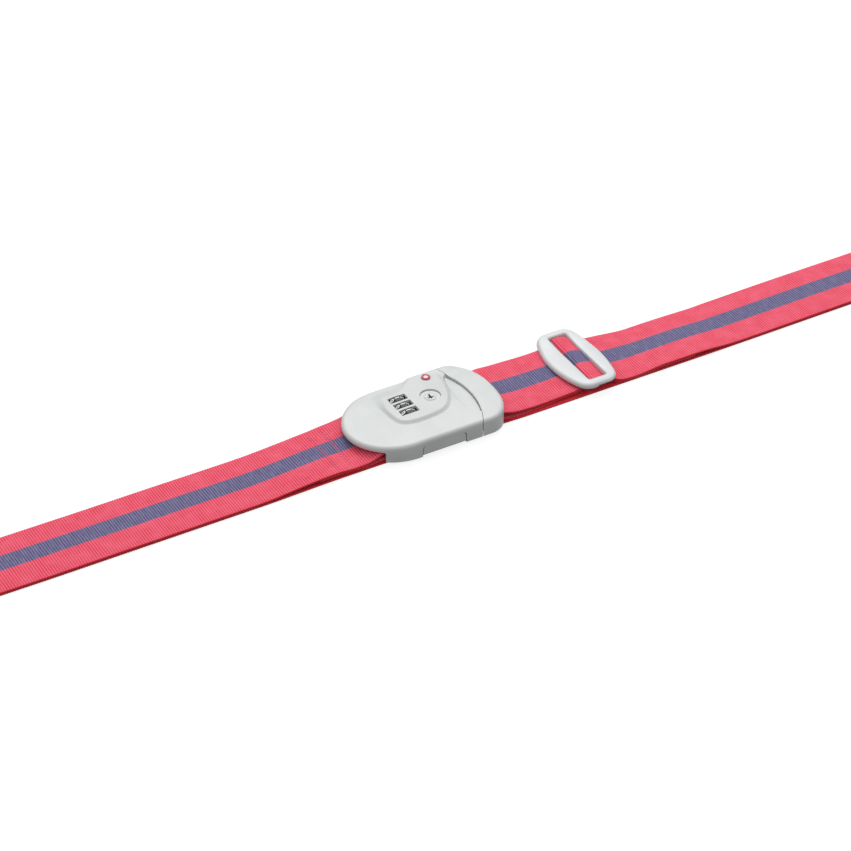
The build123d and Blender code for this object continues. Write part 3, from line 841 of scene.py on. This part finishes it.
def shell(name, crescent):
    """A closed shell: the back, its round rim, the wall and the inside at one wall thickness.

    Each row is the buckle's outline moved in along its normals or towards a middle line, at a
    height of its own.
    """
    p, n = outline(OUTLINE_POINTS)
    middle = np.column_stack([MIDDLE_X + 0.5 * (p[:, 0] - MIDDLE_X), np.zeros(len(p))])
    u = np.linspace(0, 1, FACE_ROWS)[:, None, None]
    plan = middle + (p - n * RIM_R - middle) * u
    x, y = np.moveaxis(plan, -1, 0)
    rows = list(np.stack([x, y, face_height(x, y, crescent)], -1))

    def row(plan, z):
        rows.append(np.column_stack([plan, np.broadcast_to(z, len(plan))]))

    for a in np.radians([15, 30, 45, 60, 75, 90]):
        at = p - n * RIM_R * (1 - math.sin(a))
        row(at, face_height(at[:, 0], at[:, 1], crescent) - RIM_R * (1 - math.cos(a)))
    rim = rows[-1][:, 2]
    for part in (0.5, 0.9):
        row(p, rim + (UNDERSIDE + 0.4 - rim) * part)
    row(p, UNDERSIDE + 0.3)
    row(p - n * 0.3, UNDERSIDE)
    wall = p - n * WALL
    row(wall, UNDERSIDE)
    row(wall, rim - 2.2)
    for part in (0.97, 0.85, 0.7, 0.55, 0.4, 0.2, 0):
        at = middle + (wall - n * 0.5 - middle) * part
        z = crown(at[:, 0], at[:, 1]) - ROOF
        up = smooth(0.5, -2.5, signed_distance(at, ISLAND) + 2)
        row(at, z + (ISLAND_TOP - ROOF - z) * up * 0.9)
    faces = grid_faces(len(rows), len(p), wrap_cols=True)
    thing = new_object(name, np.concatenate(rows), faces)
    tidy(thing)
    return thing


def seam_side(name, radius, outer):
    """A block bounded by the seam's arc: what lies beyond it, or what lies within it."""
    rim = arc(SEAM_X - SEAM_R, 0, radius, -50, 50, 200)
    end = 90 if outer else -90
    return prism(name, np.vstack([rim, [(end, rim[-1][1]), (end, rim[0][1])]]), (-3, 22))


def across_x(name, outline_yz, x):
    """A closed outline of (y, z) pushed along X."""
    thing = prism(name, outline_yz, x)
    points = coordinates(thing.data)[:, [2, 0, 1]]
    thing.data.vertices.foreach_set("co", points.ravel())
    thing.data.update()
    return thing


def tab_outline(bottom, top, side_gap=0.0):
    """Side view of a release tab or its opening, rounded in at both top corners."""
    corner = np.array([(0, bottom), (0, top - 3.0), (-0.5, top - 0.6), (-2.6, top), (-6, top)])
    right = rounded(corner + (TAB_X[1] - side_gap, 0))
    left = rounded(corner[::-1] * (-1, 1) + (TAB_X[0] + side_gap, 0))
    return np.vstack([right, left])


def make_covers():
    """Both covers cut from one whole shell each, with all their openings."""
    mouth = rectangle((-26, 26), (-2, 9.4), 1.0)
    lock = shell("top_cover_shell", True)
    half_x, half_y = DIAL_WINDOW
    window_x = (DIAL_X - half_x, DIAL_X + half_x)
    cutters = [
        seam_side("seam_out", SEAM_R - SEAM_GAP / 2, True),
        across_x("mouth_lock", mouth, (-70, LOCK_BAR_X + 4)),
        *[prism("window", rectangle(window_x, (y - half_y, y + half_y), 0.5), (9, 20)) for y in DIAL_Y],
        prism("key_hole", arc(*KEY, KEY_FACE_R, 0, 357, 120), (14.61, 20)),
        prism("key_bore", arc(*KEY, KEY_BORE_R, 0, 357, 120), (10, 20)),
        prism("ring_hole", arc(*RING, RING_HOLE_R, 0, 355, 72), (15.2, 20)),
        prism("tab_front", tab_outline(0.5, TAB_OPENING["front"]), (-36, -29.5), "Y"),
        prism("tab_back", tab_outline(0.5, TAB_OPENING["back"]), (29.5, 36), "Y"),
        prism("reset_hole", arc(DIAL_X, DIAL_Z, RESET_HOLE_R, 0, 350, 36), (28, 36), "Y"),
    ]
    finished(cut(lock, cutters), SHELL, "lock_body", "buckle_shell", "top_cover")

    insert = shell("insert_cover_shell", False)
    cutters = [
        seam_side("seam_in", SEAM_R + SEAM_GAP / 2, False),
        across_x("mouth_insert", mouth, (INSERT_BAR_X - 4, 70)),
    ]
    finished(cut(insert, cutters), SHELL, "insert", "buckle_shell", "insert_cover")


def make_tabs():
    """The two release tabs, each a curved-cornered plate with its ears and foot inside."""
    for side, name in ((-1, "front"), (1, "back")):
        out = sorted((side * (HALF_WIDTH - 0.05), side * (HALF_WIDTH - WALL)))
        plate = prism("plate", tab_outline(TAB_BOTTOM, TAB_TOP[name] - 0.1, 0.6), out, "Y")
        foot = prism("foot", rectangle((-13, -9.2), (4.7, 7.7)), sorted((side * 27.2, side * 30.75)), "Y")
        ears = [
            prism("ear", rectangle(x, (3.6, 8.4)), sorted((side * 29.6, side * 30.75)), "Y")
            for x in ((-18.2, -14.6), (14.2, 18))
        ]
        tab = joined("tab_" + name, [plate, foot] + ears)
        soften(tab, 0.22)
        finished(tab, SHELL, "release_tab_" + name, "buckle_shell", "release_tab_" + name)


def glyph(text):
    """Points and faces of a digit as a thin, slightly thickened plate, centred on x and y."""
    curve = bpy.data.curves.new("digit", "FONT")
    curve.body = text
    curve.size = DIGIT_SIZE
    curve.align_x = "CENTER"
    curve.align_y = "CENTER"
    curve.extrude = DIGIT_T / 2
    curve.offset = DIGIT_BOLD
    curve.resolution_u = 4
    thing = bpy.data.objects.new("digit", curve)
    bpy.context.scene.collection.objects.link(thing)
    graph = bpy.context.evaluated_depsgraph_get()
    mesh = bpy.data.meshes.new_from_object(thing.evaluated_get(graph))
    points = coordinates(mesh)
    faces = [list(f.vertices) for f in mesh.polygons]
    bpy.data.objects.remove(thing)
    bpy.data.meshes.remove(mesh)
    points[:, :2] -= ((points.min(0) + points.max(0)) / 2)[:2]
    return points, faces


def make_dials():
    """Three ten-sided wheels, each with a flat on top, on their sleeves."""
    for i, y in enumerate(DIAL_Y):
        rim = arc(DIAL_X, DIAL_Z, DIAL_R, 0, 324, 10)
        wheel = prism("wheel", rim, (y - DIAL_HALF, y + DIAL_HALF), "Y")
        bore = prism("bore", arc(DIAL_X, DIAL_Z, SLEEVE_R, 0, 354, 60), (y - 4, y + 4), "Y")
        wheel = cut(wheel, [bore])
        wheel.name = f"number_wheel_{i + 1}"
        soften(wheel, 0.15)
        finished(wheel, DIAL, f"dial_{i + 1}", "dial_black", f"dial_{i + 1}")


def make_digits():
    """Ten numbers round each wheel, one on each flat; their tops point round the wheel."""
    glyphs = [glyph(str(k)) for k in range(10)]
    right = np.array([0, -1, 0])
    for i, y in enumerate(DIAL_Y):
        parts = []
        for k, (flat, shape) in enumerate(glyphs):
            turn = math.radians(36 * (k - 1))
            outward = np.array([math.sin(turn), 0, math.cos(turn)])
            up = np.array([math.cos(turn), 0, -math.sin(turn)])
            raised = (flat[:, 2:] + FACET_R + DIGIT_GAP) * outward
            turned = flat[:, :1] * right + flat[:, 1:2] * up + raised
            parts.append((turned + (DIAL_X, y + DIGIT_ASIDE, DIAL_Z), shape))
        digits = new_object(f"digits_{i + 1}", *gathered(parts))
        finished(digits, DIGIT, f"dial_{i + 1}", None)


def make_cylinder():
    """The key cylinder turned, with a groove round the plug, and the plug with a T keyway."""
    profile = [
        (3.45, 8.2), (6.5, 8.2), (6.5, 13.4), (7.4, 13.4), (7.4, 14.6), (6.98, 14.6), (6.98, 15.05),
        (6.8, 15.2), (4.6, 15.12), (4.3, 14.9), (4.05, 14.9), (3.9, 15.25), (3.6, 15.3), (3.45, 15.2),
    ]
    cylinder = lathe("key_cylinder_turned", profile, KEY, 120, 30)
    finished(cylinder, CYLINDER, "lock_body", "cylinder_metal", "key_cylinder")
    plug = bpy.data.objects.new("key_plug_face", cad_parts["key_plug"].data.copy())
    bpy.context.scene.collection.objects.link(plug)
    tidy(plug)
    slots = (((-2.2, 2.2), (-1.5, -0.3)), ((-0.75, 0.75), (-0.6, 2.6)))
    cutters = [prism("keyway", rectangle(x, y) + KEY, (13.6, 16)) for x, y in slots]
    finished(cut(plug, cutters), CYLINDER, "key_plug", "cylinder_metal", "key_plug")


make_covers()
make_cylinder()
make_tabs()
make_dials()
make_digits()


# Slider


def round_hull(points, radius, count):
    """A convex outline grown by a radius, which rounds its corners, at even steps."""
    a = np.linspace(0, 2 * np.pi, 1440, endpoint=False)
    way = np.column_stack([np.cos(a), np.sin(a)])
    furthest = points[np.argmax(points @ way.T, axis=0)]
    return even_loop(furthest + way * radius, count)


def slider_outline(radius):
    """The slider's plan drawn in by a radius: between two arcs and two ends."""
    y = np.linspace(-SLIDER_HALF + radius, SLIDER_HALF - radius, 400)
    left = SLIDER_X[0] + SLIDER_LEFT_R - np.sqrt((SLIDER_LEFT_R - radius) ** 2 - y ** 2)
    right = SLIDER_X[1] - SLIDER_RIGHT_R + np.sqrt((SLIDER_RIGHT_R - radius) ** 2 - y ** 2)
    return np.vstack([np.column_stack([left, y]), np.column_stack([right, y])])


def window_points(outer):
    """The window's edge and its outward normals, each in the same direction as the outline's point.

    Both are seen from the window's middle, with the window's length squeezed to its width.
    """
    limits = [(low + WINDOW_CORNER, high - WINDOW_CORNER) for low, high in (WINDOW_X, WINDOW_Y)]
    edge, normal = round_hull(rectangle(*limits), WINDOW_CORNER, 900)
    x, y = ((outer - WINDOW_MIDDLE) / WINDOW_SPAN).T
    to_outer = np.arctan2(y, x)
    x, y = ((edge - WINDOW_MIDDLE) / WINDOW_SPAN).T
    to_edge = np.arctan2(y, x)
    order = np.argsort(to_edge)
    found = [np.interp(to_outer, to_edge[order], column[order], period=2 * np.pi)
             for column in (*edge.T, *normal.T)]
    return np.stack(found[:2], 1), np.stack(found[2:], 1)


def make_slider():
    """A ring whose section runs up the window, over a slightly full top and round the outside.

    Outside, the lower edge is raised from the middle to the right; the far end stands higher.
    """
    outer, outward = round_hull(slider_outline(SLIDER_CORNER), SLIDER_CORNER, SLIDER_POINTS)
    window, away = window_points(outer)
    low, top = SLIDER_Z
    rows = []

    def ring(plan, z):
        rows.append(np.column_stack([plan, np.broadcast_to(z, len(plan))]))

    for a in np.radians([90, 60, 30, 0]):
        ring(window + away * LOW_EDGE * (1 - math.cos(a)), low + LOW_EDGE * (1 - math.sin(a)))
    for a in np.radians([0, 22, 45, 68, 90]):
        ring(window + away * WINDOW_EDGE * (1 - math.cos(a)), top - WINDOW_EDGE * (1 - math.sin(a)))
    start = window + away * WINDOW_EDGE
    end = outer - outward * OUTER_EDGE
    for part in (0.2, 0.4, 0.6, 0.8):
        ring(start + (end - start) * part, top + 0.25 * math.sin(part * math.pi) - 0.15 * part)
    for a in np.radians([90, 75, 60, 45, 30, 15, 0]):
        plan = outer - outward * OUTER_EDGE * (1 - math.cos(a))
        ring(plan, top - 0.15 - OUTER_DROP * (1 - math.sin(a)))
    arch = 0.3 + 1.7 * smooth(116.5, 121, outer[:, 0]) - 0.9 * smooth(131, 137, outer[:, 0])
    for a in np.radians([0, 30, 60, 90]):
        ring(outer - outward * LOW_EDGE * (1 - math.cos(a)), low + LOW_EDGE * (1 - math.sin(a)) + arch)
    points = np.stack(rows)
    y, z = np.moveaxis(points, -1, 0)[1:]
    z += (z - low) / (top - low) * (1.4 * smooth(8, 32, y) - 0.2)
    y += SLIDER_Y
    faces = grid_faces(len(rows), SLIDER_POINTS, True, True)
    frame_piece = new_object("slider_ring", points.reshape(-1, 3), faces, 50)
    tidy(frame_piece)
    bar_y = (SLIDER_Y - 27.2, SLIDER_Y + 27.2)
    bar = prism("slider_bar", rectangle((119.3, 122.4), (4.9, 6.8), 0.7), bar_y, "Y")
    slider = joined("slider_body", [frame_piece, bar])
    finished(slider, SLIDER_SHELL, "slider", "slider_shell", "slider_frame")


make_slider()


# Stitching


def tube(path):
    """Thread along a path of (x, y, z) points, six-sided, with round ends."""
    d = np.gradient(path, axis=0)
    d /= np.linalg.norm(d, axis=1, keepdims=True)
    side = np.cross(d, (0.0, 0.0, 1.0))
    side /= np.linalg.norm(side, axis=1, keepdims=True)
    over = np.cross(side, d)
    rows, sides = len(path), 6
    a = np.linspace(0, 2 * np.pi, sides, endpoint=False)[:, None]
    thick = THREAD_R * np.sqrt(np.clip(1 - np.linspace(-1, 1, rows) ** 6, 0.02, 1))[:, None, None]
    points = path[:, None] + thick * (np.cos(a) * side[:, None] + np.sin(a) * over[:, None])
    faces = grid_faces(rows, sides, wrap_cols=True).tolist()
    faces += [list(range(sides))[::-1], list(range((rows - 1) * sides, rows * sides))]
    return points.reshape(-1, 3), faces


def web_top(x, y):
    """Height of the lock side's upper face near the buckle."""
    return np.interp(x, *np.transpose(LOCK_RUN)) + WEB_T / 2 + lock_lift(x, y)


def make_stitches():
    """Two zigzag rows across the lock side, each stitch a short thread sunk at both ends."""
    t = np.linspace(0, 1, 9)
    bow = THREAD_RISE * np.sin(np.pi * t) ** 0.7 - THREAD_SINK
    parts = []
    for row, low, high in STITCH_ROWS:
        for k in range(int((high - low) / STITCH)):
            side = -STITCH_SIDE if k % 2 else STITCH_SIDE
            x = row - side + 2 * side * t
            y = low + STITCH * (k + t)
            parts.append(tube(np.column_stack([x, y, web_top(x, y) + bow])))
    thread = new_object("stitches", *gathered(parts), 60)
    tidy(thread, merge=False)
    finished(thread, THREAD, "lock_body", None)


make_stitches()


# Finishes of the plain parts


def finish_plain_parts():
    """Gives every part that keeps its plain shape a finish with its own pattern."""
    finishes = (
        (INNER, "rear_cover insert_rear_cover insert_frame latch_arm_front latch_arm_back"),
        (INNER, "reset_button dial_sleeve_1 dial_sleeve_2 dial_sleeve_3"),
        (STEEL, "cover_screws insert_screws arm_pins dial_shaft lock_webbing_bar insert_webbing_bar"),
        (PLATE, "lock_chassis lock_plate dial_click_spring plug_clip"),
        (PLATE, "shaft_spring tab_spring_front tab_spring_back"),
        (CYLINDER, "plug_cam"),
        (BRASS, "plug_wafers"),
        (RING_RED, "status_ring"),
        (LENS, "status_lens"),
    )
    for material, nodes in finishes:
        for node in nodes.split():
            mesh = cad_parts[node].data
            mesh.materials.clear()
            mesh.materials.append(material)


def press_springs():
    """Gives each coil spring a mesh of its own."""
    for side, name in ((-1, "front"), (1, "back")):
        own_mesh(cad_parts["tab_spring_" + name])
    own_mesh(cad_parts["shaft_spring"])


finish_plain_parts()
press_springs()


# Camera, floor and light


def camera():
    """A long lens above the near left of the strap."""
    down = math.radians(CAMERA_DOWN)
    turn = math.radians(CAMERA_TURN)
    place = Vector(CAMERA_TARGET) * MM
    right = Vector((math.cos(turn), -math.sin(turn), 0))
    away = Vector((math.sin(turn), math.cos(turn), 0))
    forward = away * math.cos(down) - Vector((0, 0, math.sin(down)))
    up = right.cross(forward)
    data = bpy.data.cameras.new("camera")
    data.sensor_width = 36
    data.lens = CAMERA_LENS
    data.clip_start = 0.05
    thing = bpy.data.objects.new("camera", data)
    place -= forward * (CAMERA_DISTANCE * MM)
    turned = Matrix((right, up, -forward)).transposed().to_4x4()
    thing.matrix_world = Matrix.Translation(place) @ turned
    bpy.context.scene.collection.objects.link(thing)
    bpy.context.scene.camera = thing


def area_light(name, place, target, size, power):
    """A soft panel that faces a point; places in metres."""
    data = bpy.data.lights.new(name, "AREA")
    data.shape = "RECTANGLE"
    data.size, data.size_y = size
    data.energy = power
    thing = bpy.data.objects.new(name, data)
    thing.location = place
    thing.rotation_euler = (Vector(target) - Vector(place)).to_track_quat("-Z", "Y").to_euler()
    bpy.context.scene.collection.objects.link(thing)


def studio():
    """White table, white surroundings and a panel above and behind."""
    f = Finish("table_white")
    cloud = f.noise(f.place(), 0.01, 2.0)
    colour = f.mix(cloud, (0.27, 0.27, 0.27), (0.29, 0.29, 0.29))
    material = f.done(
        base_color=colour, roughness=0.9, specular_ior_level=0.0,
        emission_color=(1, 1, 1), emission_strength=0.8,
    )
    corners = [(-4000, -4000, 0), (4000, -4000, 0), (4000, 4000, 0), (-4000, 4000, 0)]
    floor = new_object("table", corners, [[0, 1, 2, 3]])
    floor.data.materials.append(material)
    floor.visible_diffuse = False
    world = bpy.data.worlds.new("studio")
    world.use_nodes = True
    tree = world.node_tree
    at = tree.nodes.new("ShaderNodeTexCoord")
    split = tree.nodes.new("ShaderNodeSeparateXYZ")
    fade = tree.nodes.new("ShaderNodeMapRange")
    fade.inputs["From Min"].default_value = -0.05
    fade.inputs["From Max"].default_value = 0.6
    fade.inputs["To Min"].default_value = 0.1
    fade.inputs["To Max"].default_value = 1.1
    tree.links.new(at.outputs["Generated"], split.inputs[0])
    tree.links.new(split.outputs[2], fade.inputs["Value"])
    tree.links.new(fade.outputs[0], tree.nodes["Background"].inputs[0])
    tree.nodes["Background"].inputs[1].default_value = 0.85
    bpy.context.scene.world = world
    area_light("panel_above", (0.5, 1.0, 1.6), (0, 0, 0), (1.2, 1.0), 19)
    bpy.context.scene.view_settings.view_transform = "Standard"


camera()
studio()
